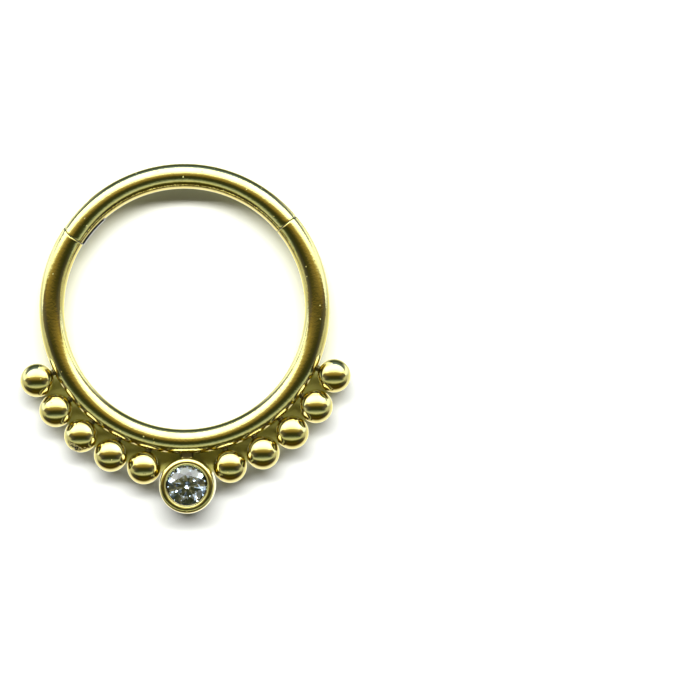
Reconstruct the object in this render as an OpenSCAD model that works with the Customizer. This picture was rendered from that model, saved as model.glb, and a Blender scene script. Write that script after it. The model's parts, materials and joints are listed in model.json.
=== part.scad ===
// Hinged segment ring: a round wire in two arcs, beads along the lower edge and
// a round stone in a bezel. The ring lies on its back, so +Z is the side that
// shows, +Y runs to the middle of the gate and the setting is on the -Y side.
// All sizes are in millimetres.

/* [Wire] */
// Clear width inside the closed ring
inner_d = 12; // [10:0.5:16]
// Thickness of the round wire
wire_d = 1.25; // [1.15:0.05:1.4]
// Width of the seam where the gate meets the ring
seam_gap = 0.02; // [0.02:0.01:0.06]

/* [Hinge] */
// Place of the hinge pin round the ring, in degrees from +X
hinge_at = 137.6; // [125:0.1:150]
// Distance from the hinge pin back to the seam
hinge_reach = 1.06; // [0.9:0.01:1.2]
// Thickness of the hinge pin
hinge_pin_d = 0.5; // [0.4:0.02:0.6]
// Thickness of the flat tongue
tongue_t = 0.36; // [0.3:0.02:0.5]
// Distance from the hinge pin to the tip of the tongue
tongue_reach = 0.79; // [0.6:0.01:0.85]
// How far the tongue stands out of the wire on the inner side
tongue_proud = 0.06; // [0:0.01:0.08]
// How far the tongue stays inside the wire on the outer side
tongue_sunk = 0.04; // [0.02:0.01:0.08]
// Thickness of the round peg that holds the tongue in the ring
tongue_peg_d = 0.36; // [0.3:0.02:0.5]
// Length of that peg
tongue_peg_l = 0.8; // [0.5:0.1:1]

/* [Latch] */
// Place of the latch seam round the ring, in degrees from +X
latch_at = 38.8; // [30:0.1:50]
// Thickness of the latch pin
latch_pin_d = 0.7; // [0.5:0.02:0.72]
// Length of the latch pin that shows when the gate is open
latch_out = 0.38; // [0.2:0.02:0.4]
// Length of the latch pin inside the gate
latch_in = 1; // [0.6:0.1:1.2]
// Bevel round the tip of the latch pin
latch_bevel = 0.14; // [0.1:0.01:0.16]

/* [Beads] */
// Diameter of each bead
bead_d = 1.68; // [1.4:0.02:1.8]
// Number of beads on each side of the setting
beads_a_side = 5; // [5:1:5]
// Clear gap between neighbouring beads
bead_gap = 0.09; // [0.05:0.01:0.4]
// Clear gap between a bead and the wire
bead_lift = 0.08; // [0.06:0.01:0.4]
// Thickness of the post under each bead
bead_post_d = 0.34; // [0.25:0.01:0.5]

/* [Setting] */
// Outer diameter of the bezel
setting_d = 2.82; // [2.6:0.02:3.4]
// Clear gap between the bezel and the wire
setting_lift = 0.15; // [0.1:0.01:0.4]
// Clear gap between the bezel and the beads beside it
setting_gap = 0.09; // [0.05:0.01:0.4]
// Thickness of the post behind the bezel
setting_post_d = 0.65; // [0.35:0.05:0.7]
// Width across the bezel's top edge
rim_d = 2.74; // [2.6:0.02:2.8]
// Height of the bezel's crest over the middle of the wire
crest_z = 0.76; // [0.74:0.01:0.85]
// Width of the rounding on the bezel's outer edge
edge_round = 0.2; // [0.05:0.01:0.22]
// Fall of the bezel's top face towards its edge, in degrees
face_fall = 3; // [2:1:20]

/* [Stone] */
// Diameter of the stone at its girdle
stone_d = 2; // [1.8:0.05:2]
// Width of the table as a share of the diameter
table_share = 0.56; // [0.5:0.01:0.62]
// Tilt of the main facets of the crown, in degrees
crown_tilt = 34.5; // [32:0.5:37]
// Tilt of the main facets of the pavilion, in degrees
pavilion_tilt = 40.75; // [39:0.25:42]
// Thickness of the girdle
girdle_t = 0.06; // [0.05:0.01:0.08]
// Height of the girdle's upper edge over the middle of the wire
girdle_z = 0.6; // [0.58:0.01:0.62]

/* [Fits] */
// Gap round a pin or post that is pressed or soldered in
set_gap = 0.01; // [0.005:0.005:0.02]
// Gap round the hinge pin where the tongue turns on it
turn_gap = 0.02; // [0.01:0.01:0.04]
// Gap on each side of the tongue in its slot
slot_gap = 0.03; // [0.02:0.01:0.04]
// Gap round the latch pin in its socket
latch_gap = 0.02; // [0.02:0.01:0.03]

/* [Hidden] */
$fn = 96;
SIDES = ["left", "right"];

gold = [0.85, 0.7, 0.3];
steel = [0.55, 0.56, 0.58];
crystal = [0.8, 0.86, 0.9];

wire_r = wire_d / 2;
ring_r = inner_d / 2 + wire_r;
outer_r = ring_r + wire_r;

// The hinge pin stands on the middle line of the wire. The seam behind it is
// round about the pin on the outer half of the wire and radial on the inner half.
hinge_pos = [ring_r * cos(hinge_at), ring_r * sin(hinge_at), 0];
seam_at = hinge_at + atan(hinge_reach / ring_r);
seam_turn = seam_gap / ring_r * 180 / PI;
set_turn = set_gap / ring_r * 180 / PI;
tip_at = hinge_at - atan(tongue_reach / ring_r);
slot_end_at = tip_at - 0.6;
arc_spare = 2.5;

// The latch pin leaves its socket within this turn of the gate, in degrees
pull_turn = 3;
pull_step = 0.5;

// Cutters reach past what they cut by this much, and a root sits this deep in
// its own solid
past = 0.1;
root = 0.2;

post_depth = 0.3;
setting_post_depth = 0.4;
hole_spare = 0.02;

bead_r = bead_d / 2;
bead_row_r = outer_r + bead_lift + bead_r;
bead_step = 2 * asin((bead_d + bead_gap) / 2 / bead_row_r);

setting_r = setting_d / 2;
setting_row_r = outer_r + setting_lift + setting_r;
setting_to_bead = setting_r + bead_r + setting_gap;
first_bead = acos(
    (setting_row_r ^ 2 + bead_row_r ^ 2 - setting_to_bead ^ 2)
    / (2 * setting_row_r * bead_row_r)
);

// The origin is below the middle of the part, on the surface that it lies on.
low_y = -(setting_row_r + setting_r);
shift = [0, -(low_y + outer_r) / 2, bead_r];

stone_r = stone_d / 2;
table_r = table_share * stone_r;
crown_h = (stone_r - table_r) * tan(crown_tilt);
star_share = 0.5;
star_edge_r = table_r * cos(22.5);
star_tip_r = star_edge_r + star_share * (stone_r - star_edge_r);
star_tip_z = (stone_r - star_tip_r * cos(22.5)) * tan(crown_tilt);
lower_share = 0.77;
lower_tip_r = (1 - lower_share) * stone_r;
lower_tip_z = (stone_r - lower_tip_r * cos(22.5)) * tan(pavilion_tilt);
culet_r = 0.02;
pavilion_h = (stone_r - culet_r * cos(22.5)) * tan(pavilion_tilt);

crest_r = 0.83 * rim_d / 2;
back_round = 0.07;
lip_r = stone_r - 0.015;
lip_t = 0.02;
stone_gap = 0.015;
seat_r = 0.78 * stone_r;
cup_floor = 0.05;

// One stretch of the round wire, from one angle to another
module wire(from, to) {
    rotate([0, 0, from])
        rotate_extrude(angle = to - from)
            translate([ring_r, 0])
                circle(wire_r);
}

// A flat sector that follows the ring, between two radii
module sector(from, to, r_low, r_high, thick) {
    rotate([0, 0, from])
        rotate_extrude(angle = to - from)
            translate([r_low, -thick / 2])
                square([r_high - r_low, thick]);
}

// Puts its children at the hinge pin, with +X along the wire to the gate's free
// end and +Y outwards
module at_hinge() {
    translate(hinge_pos) rotate([0, 0, hinge_at - 90]) children();
}

// Puts its children at the latch seam, with +Z along the wire into the ring body
module at_latch() {
    rotate([0, 0, latch_at])
        translate([ring_r, 0, 0])
            rotate([90, 0, 0])
                children();
}

// Puts its children on a ray of the ring, with +Z outwards along the ray
module on_ray(angle, r) {
    rotate([0, 0, angle]) translate([r, 0, 0]) rotate([0, 90, 0]) children();
}

// The corner outside the rounding about the hinge pin, on one side of the pin.
// Side -1 is towards the seam and side 1 towards the tongue's tip.
module hinge_corner(side, r) {
    block = 2.5 * wire_d;
    at_hinge() difference() {
        translate([side * block / 2, block / 2, 0]) cube(block, center = true);
        cylinder(r = r, h = block + past, center = true);
    }
}

// The latch pin, or with a gap round it the room that it needs
module latch_shape(gap, inside) {
    bevel_z = latch_out - latch_bevel;
    translate([0, 0, -inside]) cylinder(r = latch_pin_d / 2 + gap, h = inside + bevel_z + gap);
    translate([0, 0, bevel_z + gap])
        cylinder(
            r1 = latch_pin_d / 2 + gap,
            r2 = latch_pin_d / 2 + gap - latch_bevel,
            h = latch_bevel
        );
}

// The room that the latch pin sweeps in the ring body as the gate swings open
module latch_socket() {
    for (turn = [0 : pull_step : pull_turn])
        translate(hinge_pos) rotate([0, 0, turn]) translate(-hinge_pos)
            at_latch() latch_shape(latch_gap, root);
}

module bead_holes() {
    for (side = [-1, 1])
        for (i = [1 : beads_a_side])
            on_ray(bead_angle(side, i), outer_r - post_depth - hole_spare)
                cylinder(d = bead_post_d + 2 * set_gap, h = wire_r);
}

function bead_angle(side, i) = -90 + side * (first_bead + bead_step * (i - 1));

// The lower arc. Its hinge end is hollowed about the pin, and its latch end has
// the socket.
module ring_body() {
    color(gold) translate(shift) difference() {
        wire(seam_at - arc_spare, 360 + latch_at);
        at_hinge() cylinder(r = hinge_reach, h = 2 * wire_d, center = true);
        rotate([0, 0, seam_at])
            translate([ring_r / cos(seam_at - hinge_at) - 2 * wire_d, -wire_d, -wire_d])
                cube([2 * wire_d, wire_d, 2 * wire_d]);
        rotate([0, 0, seam_at])
            translate([ring_r, 0, 0])
                rotate([-90, 0, 0])
                    translate([0, 0, -past])
                        cylinder(
                            d = tongue_peg_d + 2 * set_gap,
                            h = tongue_peg_l + hole_spare + past
                        );
        latch_socket();
        bead_holes();
        on_ray(-90, outer_r - setting_post_depth - hole_spare)
            cylinder(d = setting_post_d + 2 * set_gap, h = wire_r);
    }
}

// The flat tongue: its peg sits in the ring body and its tip is rounded about
// the hinge pin, so that it turns clear of the end of the gate's slot
module hinge_tongue() {
    color(steel) translate(shift) {
        difference() {
            sector(
                tip_at, seam_at - set_turn,
                ring_r - wire_r - tongue_proud, outer_r - tongue_sunk, tongue_t
            );
            hinge_corner(1, tongue_reach);
            hinge_corner(-1, hinge_reach - set_gap);
            at_hinge() cylinder(d = hinge_pin_d + 2 * turn_gap, h = wire_d, center = true);
        }
        rotate([0, 0, seam_at])
            translate([ring_r, 0, 0])
                rotate([-90, 0, 0])
                    translate([0, 0, -root])
                        cylinder(d = tongue_peg_d, h = tongue_peg_l + root);
    }
}

// The arc that swings open: forked over the tongue at one end, drilled for the
// latch pin at the other
module gate() {
    color(gold) translate(shift) difference() {
        wire(latch_at + seam_turn, seam_at - seam_turn);
        hinge_corner(-1, hinge_reach - seam_gap);
        sector(
            slot_end_at, seam_at + arc_spare,
            ring_r - wire_d, ring_r + wire_d, tongue_t + 2 * slot_gap
        );
        at_hinge() cylinder(d = hinge_pin_d + 2 * set_gap, h = 2 * wire_d, center = true);
        at_latch() translate([0, 0, -latch_in - hole_spare])
            cylinder(d = latch_pin_d + 2 * set_gap, h = latch_in + hole_spare);
    }
}

// The pin through fork and tongue, with both ends ground to the wire's surface
module hinge_pin() {
    color(gold) translate(shift) intersection() {
        at_hinge() cylinder(d = hinge_pin_d, h = 2 * wire_d, center = true);
        wire(hinge_at - arc_spare, hinge_at + arc_spare);
    }
}

module latch_pin() {
    color(steel) translate(shift) at_latch() latch_shape(0, latch_in);
}

// One bead with its post, whose end sits in the ring body
module bead(side, i) {
    color(gold) translate(shift) {
        rotate([0, 0, bead_angle(side, i)]) translate([bead_row_r, 0, 0]) sphere(bead_r);
        on_ray(bead_angle(side, i), outer_r - post_depth)
            cylinder(d = bead_post_d, h = post_depth + bead_lift + bead_r / 2);
    }
}

// The bezel's section: a wall that leans in above the wire's middle, a round
// shoulder, a nearly level face, and a bright-cut lip over the stone
module setting_section() {
    rim_r = rim_d / 2;
    round_at = [rim_r - edge_round, crest_z - (edge_round
        + (rim_r - edge_round - crest_r) * sin(face_fall)) / cos(face_fall)];
    lip_z = girdle_z + (stone_r - lip_r) * tan(crown_tilt) + stone_gap;
    seat_z = girdle_z - girdle_t;
    difference() {
        union() {
            polygon([
                [0, -bead_r],
                [setting_r - back_round, -bead_r],
                [setting_r, -bead_r + back_round],
                [setting_r, 0],
                [rim_r, round_at.y],
                round_at + edge_round * [sin(face_fall), cos(face_fall)],
                [crest_r, crest_z],
                [lip_r, lip_z + lip_t],
                [0, lip_z + lip_t]
            ]);
            intersection() {
                translate(round_at) circle(edge_round);
                translate(round_at) square(edge_round);
            }
        }
        polygon([
            [0, seat_z - pavilion_h - cup_floor],
            [seat_r, seat_z - pavilion_h - cup_floor],
            [seat_r, seat_z - (stone_r - seat_r) * tan(pavilion_tilt) - stone_gap],
            [stone_r + stone_gap, seat_z],
            [stone_r + stone_gap, girdle_z + stone_gap],
            [lip_r, lip_z],
            [lip_r, crest_z],
            [0, crest_z]
        ]);
    }
}

module bezel_setting() {
    color(gold) translate(shift) {
        translate([0, -setting_row_r, 0]) rotate_extrude() setting_section();
        on_ray(-90, outer_r - setting_post_depth)
            cylinder(d = setting_post_d, h = setting_post_depth + setting_lift + past);
    }
}

// Points evenly round the stone's axis, from a first angle on
function round_points(count, first, r, z) = [
    for (i = [0 : count - 1])
        [r * cos(first + i * 360 / count), r * sin(first + i * 360 / count), z]
];

// A round brilliant: table, 8 kites, 8 stars and 16 upper halves on the crown,
// 8 mains, 16 lower halves and a tiny culet on the pavilion. The points go down
// the stone, row by row.
module stone() {
    points = concat(
        round_points(8, 0, table_r, crown_h),
        round_points(8, 22.5, star_tip_r, star_tip_z),
        round_points(16, 0, stone_r, 0),
        round_points(16, 0, stone_r, -girdle_t),
        round_points(8, 22.5, lower_tip_r, -girdle_t - lower_tip_z),
        round_points(8, 22.5, culet_r, -girdle_t - pavilion_h)
    );
    star = 8;
    top = 16;
    low = 32;
    tip = 48;
    culet = 56;
    faces = concat(
        [[for (i = [7 : -1 : 0]) i]],
        [for (i = [0 : 7]) [(i + 1) % 8, star + i, i]],
        [for (i = [0 : 7]) [star + i, top + 2 * i, star + (i + 7) % 8, i]],
        [for (i = [0 : 15]) [star + floor(i / 2), top + (i + 1) % 16, top + i]],
        [for (i = [0 : 15]) [top + i, top + (i + 1) % 16, low + (i + 1) % 16, low + i]],
        [for (i = [0 : 15]) [low + i, low + (i + 1) % 16, tip + floor(i / 2)]],
        [for (i = [0 : 7]) [
            low + 2 * i, tip + i, culet + i, culet + (i + 7) % 8, tip + (i + 7) % 8
        ]],
        [[for (i = [0 : 7]) culet + i]]
    );
    color(crystal) translate(shift) translate([0, -setting_row_r, girdle_z])
        polyhedron(points, faces);
}

ring_body();
hinge_tongue();
gate();
hinge_pin();
latch_pin();
bezel_setting();
stone();
for (i = [1 : beads_a_side]) {
    bead(-1, i);
    bead(1, i);
}
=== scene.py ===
import json

import bmesh
import bpy
import numpy as np
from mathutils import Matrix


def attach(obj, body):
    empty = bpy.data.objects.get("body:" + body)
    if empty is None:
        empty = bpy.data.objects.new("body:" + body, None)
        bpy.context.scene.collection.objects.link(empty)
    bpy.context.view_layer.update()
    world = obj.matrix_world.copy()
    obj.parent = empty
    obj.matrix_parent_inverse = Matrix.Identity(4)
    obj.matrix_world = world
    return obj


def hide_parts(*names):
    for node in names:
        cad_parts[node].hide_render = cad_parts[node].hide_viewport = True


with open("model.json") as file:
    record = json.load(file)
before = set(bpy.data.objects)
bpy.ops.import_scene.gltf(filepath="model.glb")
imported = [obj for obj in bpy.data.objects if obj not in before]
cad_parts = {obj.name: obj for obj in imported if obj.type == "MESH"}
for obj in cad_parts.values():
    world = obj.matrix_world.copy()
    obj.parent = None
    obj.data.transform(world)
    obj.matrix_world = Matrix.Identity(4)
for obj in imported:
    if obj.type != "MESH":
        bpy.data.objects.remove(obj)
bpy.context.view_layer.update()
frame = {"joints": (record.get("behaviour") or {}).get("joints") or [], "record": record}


# The lower arc of the ring: a round steel wire, bent to a circle, polished and coated in gold colour. Its
# hinge end is hollowed round about the hinge pin, and its latch end is drilled to take the latch pin, with
# the hole opened outwards for the pin's swing. All sizes are in millimetres, from the middle of the wire.
MM = 0.001
mounts = {mount["name"]: mount for mount in frame["record"]["mounts"]}
wire_r = mounts["piercing_wire"]["dims"]["r_mm"]
gate_top = np.array(mounts["piercing_wire"]["pos_m"]) / MM
hinge = np.array(frame["joints"][0]["pos_m"]) / MM

# The wire's middle line is the circle through its topmost point and the hinge pin
hinge_drop = gate_top[1] - hinge[1]
ring_r = (hinge[0] ** 2 + hinge_drop ** 2) / (2 * hinge_drop)
outer_r = ring_r + wire_r
ring_mid = gate_top - [0, ring_r, 0]
hinge_at = np.arctan2(hinge[1] - ring_mid[1], hinge[0])

seam_gap = 0.02
hinge_reach = 1.06
seam_at = hinge_at + np.arctan(hinge_reach / ring_r)
latch_at = np.radians(38.8)
wire_sides = 72
wire_step = 0.12
hinge_fit_l, latch_fit_l = 1.5, 0.6
seam_round = 0.07
peg_hole_r, peg_hole_depth = 0.19, 0.82
latch_pin_r, latch_out, latch_bevel, latch_gap = 0.35, 0.38, 0.14, 0.02
socket_r, socket_depth = latch_pin_r + latch_gap, latch_out + latch_gap

GOLD_LIGHT = (0.88, 0.80, 0.30, 1)
GOLD_DEEP = (0.85, 0.75, 0.24, 1)
# Painted shade in the wire's seams, holes and slot and round the stone, and dirt in the pits' hollows
DIRT_AND_SHADE = (0.05, 0.045, 0.03, 1)
# The solder's own darker colour, and painted shade where the posts meet the ring
DARK_SOLDER_AND_SHADE = (0.13, 0.11, 0.04, 1)
EDGE_TINT = (1.0, 0.98, 0.82, 1)

# The coat's clouds, dull places, grains, drawn lines and dust specks, as so many to the millimetre
clouds, dull_places, wire_grains, cast_grains, drawn_lines, specks = 0.9, 3.0, 8.0, 15.0, 14.0, 2.5
shiny, less_shiny, satin_ridge, rough_joint, rough_inside = 0.02, 0.065, 0.42, 0.45, 0.6
speck_depth = 0.02


def on_wire(angle, out, up):
    """Points at an angle round the ring, so far outside the wire's middle line and so far above it."""
    angle, out, up = np.broadcast_arrays(angle, out, up)
    reach = ring_r + out
    return ring_mid + np.stack([reach * np.cos(angle), reach * np.sin(angle), up], -1)


def beside(angle, out, up, along):
    """Points beside the wire's middle line at an angle, measured straight along the wire's direction
    there."""
    out, up, along = (part[..., None] for part in np.broadcast_arrays(out, up, along))
    ray = np.array([np.cos(angle), np.sin(angle), 0])
    ahead = np.array([-np.sin(angle), np.cos(angle), 0])
    return ring_mid + (ring_r + out) * ray + along * ahead + up * np.array([0, 0, 1])


def grid(points, around=False):
    """A grid of points, row by row, with one face between each four neighbours. With around, the last column
    joins the first."""
    rows, columns = points.shape[:2]
    index = np.arange(rows * columns).reshape(rows, columns)
    if around:
        index = np.hstack([index, index[:, :1]])
    corners = [index[:-1, :-1], index[:-1, 1:], index[1:, 1:], index[1:, :-1]]
    return points.reshape(-1, 3), np.stack(corners, -1).reshape(-1, 4)


def solid(name, patches, material, crease_deg=40):
    """One closed mesh from several grids. Points that meet are merged, which also closes a row that has
    shrunk to one point, and every face is turned outwards."""
    points = np.vstack([patch[0] for patch in patches]) * MM
    starts = np.cumsum([0] + [len(patch[0]) for patch in patches[:-1]])
    faces = np.vstack([patch[1] + start for patch, start in zip(patches, starts)])
    used, faces = np.unique(faces, return_inverse=True)
    mesh = bpy.data.meshes.new(name)
    mesh.from_pydata(points[used], [], faces.reshape(-1, 4).tolist())
    work = bmesh.new()
    work.from_mesh(mesh)
    bmesh.ops.remove_doubles(work, verts=work.verts, dist=1e-4 * MM)
    bmesh.ops.recalc_face_normals(work, faces=work.faces)
    work.to_mesh(mesh)
    work.free()
    mesh.shade_smooth()
    mesh.set_sharp_from_angle(angle=np.radians(crease_deg))
    mesh.materials.append(material)
    piece = bpy.data.objects.new(name, mesh)
    bpy.context.scene.collection.objects.link(piece)
    return piece


def add(tree, kind, inputs=None, **settings):
    """One shader node, with its settings, and with values or links on its named or numbered inputs."""
    node = tree.nodes.new(kind)
    for key, value in settings.items():
        setattr(node, key, value)
    for key, value in (inputs or {}).items():
        if isinstance(value, bpy.types.NodeSocket):
            tree.links.new(value, node.inputs[key])
        else:
            node.inputs[key].default_value = value
    return node


def new_material(name):
    """An empty material with its Principled shader."""
    material = bpy.data.materials.new(name)
    material.use_nodes = True
    return material, material.node_tree, material.node_tree.nodes["Principled BSDF"]


def calc(tree, operation, *values):
    """One step of arithmetic on numbers or sockets."""
    return add(tree, "ShaderNodeMath", dict(enumerate(values)), operation=operation).outputs[0]


def millimetres(tree, centre=(0, 0, 0)):
    """The piece's own coordinates, in millimetres from a point."""
    coordinates = add(tree, "ShaderNodeTexCoord").outputs["Object"]
    return add(tree, "ShaderNodeMapping", {
        "Vector": coordinates, "Scale": (1 / MM,) * 3, "Location": [-c for c in centre],
    }).outputs["Vector"]


def parts(tree, vector):
    """The three numbers of a vector."""
    return add(tree, "ShaderNodeSeparateXYZ", {"Vector": vector}).outputs


def diagonal(tree, x, y):
    """The distance that two distances at a right angle make."""
    flat = add(tree, "ShaderNodeCombineXYZ", {"X": x, "Y": y})
    return add(tree, "ShaderNodeVectorMath", {0: flat.outputs[0]}, operation="LENGTH").outputs["Value"]


def along_wire(tree, stretch):
    """Coordinates that follow the bent wire: the length along it, divided by stretch, the distance from the
    ring's middle, and the height."""
    split = parts(tree, millimetres(tree, ring_mid))
    length = calc(tree, "MULTIPLY", calc(tree, "ARCTAN2", split["Y"], split["X"]), ring_r / stretch)
    return add(tree, "ShaderNodeCombineXYZ", {
        "X": length, "Y": diagonal(tree, split["X"], split["Y"]), "Z": split["Z"],
    }).outputs["Vector"]


def under_surface(tree):
    """How far below the wire's round surface a point lies, in millimetres."""
    split = parts(tree, along_wire(tree, 1.0))
    from_middle = diagonal(tree, calc(tree, "SUBTRACT", split["Y"], ring_r), split["Z"])
    return calc(tree, "SUBTRACT", wire_r, from_middle)


def noise(tree, where, scale, detail=2.0, rough=0.5):
    """Soft noise from 0 to 1, with so many cells to the millimetre."""
    return add(tree, "ShaderNodeTexNoise", {
        "Vector": where, "Scale": scale, "Detail": detail, "Roughness": rough,
    }).outputs["Fac"]


def spread(tree, value, low, high, to_low, to_high, kind="LINEAR"):
    """A value's range from low to high, stretched to a new range and held at its ends."""
    return add(tree, "ShaderNodeMapRange", {
        "Value": value, "From Min": low, "From Max": high, "To Min": to_low, "To Max": to_high,
    }, interpolation_type=kind).outputs["Result"]


def bump(tree, height, depth, below=None):
    """Relief of a height from 0 to 1, so many millimetres deep, on top of other relief."""
    inputs = {"Height": height, "Distance": depth * MM, "Strength": 1.0}
    if below is not None:
        inputs["Normal"] = below
    return add(tree, "ShaderNodeBump", inputs).outputs["Normal"]


def blend(tree, factor, first, second):
    """Two colours, mixed by a factor."""
    inputs = {"Factor": factor, "A": first, "B": second}
    return add(tree, "ShaderNodeMix", inputs, data_type="RGBA").outputs["Result"]


def gold_coat(name, wire=False, grain=0.004, drawn=0.002, seam_shade=None, solder_shade_to=None, pitted=None):
    """Polished coat in gold colour: cloudy between two golds, with the fine grain of tumbled steel,
    scattered dust specks, and a sheen that is duller here and there. A wire also has fine drawn lines along
    it, and its end faces, holes and slot are painted dark and rough, as painted shade in the seams. A
    setting is painted dark inside the seam's radius round its stone, as painted shade in the seam and in the
    cup under the stone, and is satin on the bright-cut ridge just outside it. Nearer to the ring than the
    reach given for
    the solder, the post is darker and rough: the solder's own colour, and painted shade where it meets the
    ring. Round a pitted place are small dirty hollows, where a coarse noise is low."""
    material, tree, shader = new_material(name)
    where = millimetres(tree)
    cloud = spread(tree, noise(tree, where, clouds), 0.35, 0.65, 0.0, 1.0)
    tone = blend(tree, cloud, GOLD_LIGHT, GOLD_DEEP)
    dull = noise(tree, where, dull_places, detail=4.0, rough=0.65)
    sheen = spread(tree, dull, 0.35, 0.7, shiny, less_shiny)
    tumbled = noise(tree, where, wire_grains if wire else cast_grains, detail=2.0, rough=0.6)
    relief = bump(tree, tumbled, grain)
    if wire:
        relief = bump(tree, noise(tree, along_wire(tree, 9.0), drawn_lines, detail=3.0), drawn, relief)
        # Painted shade: the wire's end faces, holes and slot are painted dark and rough
        inside = spread(tree, under_surface(tree), 0.012, 0.05, 0.0, 1.0)
        tone = blend(tree, inside, tone, DIRT_AND_SHADE)
        sheen = calc(tree, "MAXIMUM", sheen, calc(tree, "MULTIPLY", inside, rough_inside))
    if seam_shade is not None:
        centre, radius = seam_shade
        # Painted shade: dark in the seam round the stone and in the cup under it
        split = parts(tree, millimetres(tree, centre))
        reach = diagonal(tree, split["X"], split["Y"])
        inside = spread(tree, reach, radius, radius + 0.012, 1.0, 0.0)
        tone = blend(tree, inside, tone, DIRT_AND_SHADE)
        on_ridge = calc(
            tree, "MULTIPLY", spread(tree, reach, radius + 0.04, radius + 0.06, 0, satin_ridge),
            spread(tree, reach, radius + 0.125, radius + 0.135, 1, 0),
        )
        sheen = calc(tree, "MAXIMUM", sheen, on_ridge)
    if solder_shade_to is not None:
        # Painted shade and the solder's colour: nearer to the ring the posts are darker and rough
        reach = parts(tree, along_wire(tree, 1.0))["Y"]
        solder_and_shade = spread(tree, reach, solder_shade_to - 0.02, solder_shade_to + 0.02, 1.0, 0.0)
        tone = blend(tree, solder_and_shade, tone, DARK_SOLDER_AND_SHADE)
        sheen = calc(tree, "MAXIMUM", sheen, calc(tree, "MULTIPLY", solder_and_shade, rough_joint))
    if pitted is not None:
        pitted_at, depth = pitted
        near = add(tree, "ShaderNodeVectorMath", {0: where, 1: pitted_at}, operation="DISTANCE")
        mask = spread(tree, near.outputs["Value"], 0.18, 0.42, 1.0, 0.0, "SMOOTHSTEP")
        hollows = noise(tree, where, 7.0, detail=3.0, rough=0.6)
        deep = calc(tree, "MINIMUM", calc(tree, "SUBTRACT", hollows, 0.52), 0.0)
        relief = bump(tree, calc(tree, "MULTIPLY", deep, mask), depth, relief)
        dirt = calc(tree, "MULTIPLY", spread(tree, hollows, 0.4, 0.5, 1.0, 0.0), mask)
        tone = blend(tree, dirt, tone, DIRT_AND_SHADE)
    tree.links.new(tone, shader.inputs["Base Color"])
    shader.inputs["Metallic"].default_value = 1.0
    shader.inputs["Specular Tint"].default_value = EDGE_TINT
    tree.links.new(sheen, shader.inputs["Roughness"])
    dust = add(tree, "ShaderNodeTexVoronoi", {"Vector": where, "Scale": specks, "Randomness": 1.0})
    speck = spread(tree, dust.outputs["Distance"], 0.03, 0.08, 0.0, 1.0)
    tree.links.new(bump(tree, speck, speck_depth, relief), shader.inputs["Normal"])
    return material


def socket_reach(around, depth):
    """How far the latch socket reaches from the wire's middle line at an angle round the wire. The hole is
    the pin's circle and the same circle moved outwards by the pin's swing, which is nothing below the start
    of the bevel, with straight sides between the two."""
    pin_at = ring_r * np.array([np.cos(latch_at), np.sin(latch_at)])
    arm = pin_at - (hinge - ring_mid)[:2]
    swing = np.array([-arm[1], arm[0]])
    outwards = swing @ [np.cos(latch_at), np.sin(latch_at)]
    along = swing @ [-np.sin(latch_at), np.cos(latch_at)]
    move = outwards / along * np.clip(latch_out - latch_bevel - depth, 0, None)
    side, out = np.abs(np.sin(around)), np.cos(around)
    straight = socket_r / np.maximum(side, 1e-6)
    far = move * out + np.sqrt(np.maximum(socket_r ** 2 - (move * side) ** 2, 0))
    return np.where(out <= 0, socket_r, np.where(straight * out < move, straight, far))


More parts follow.
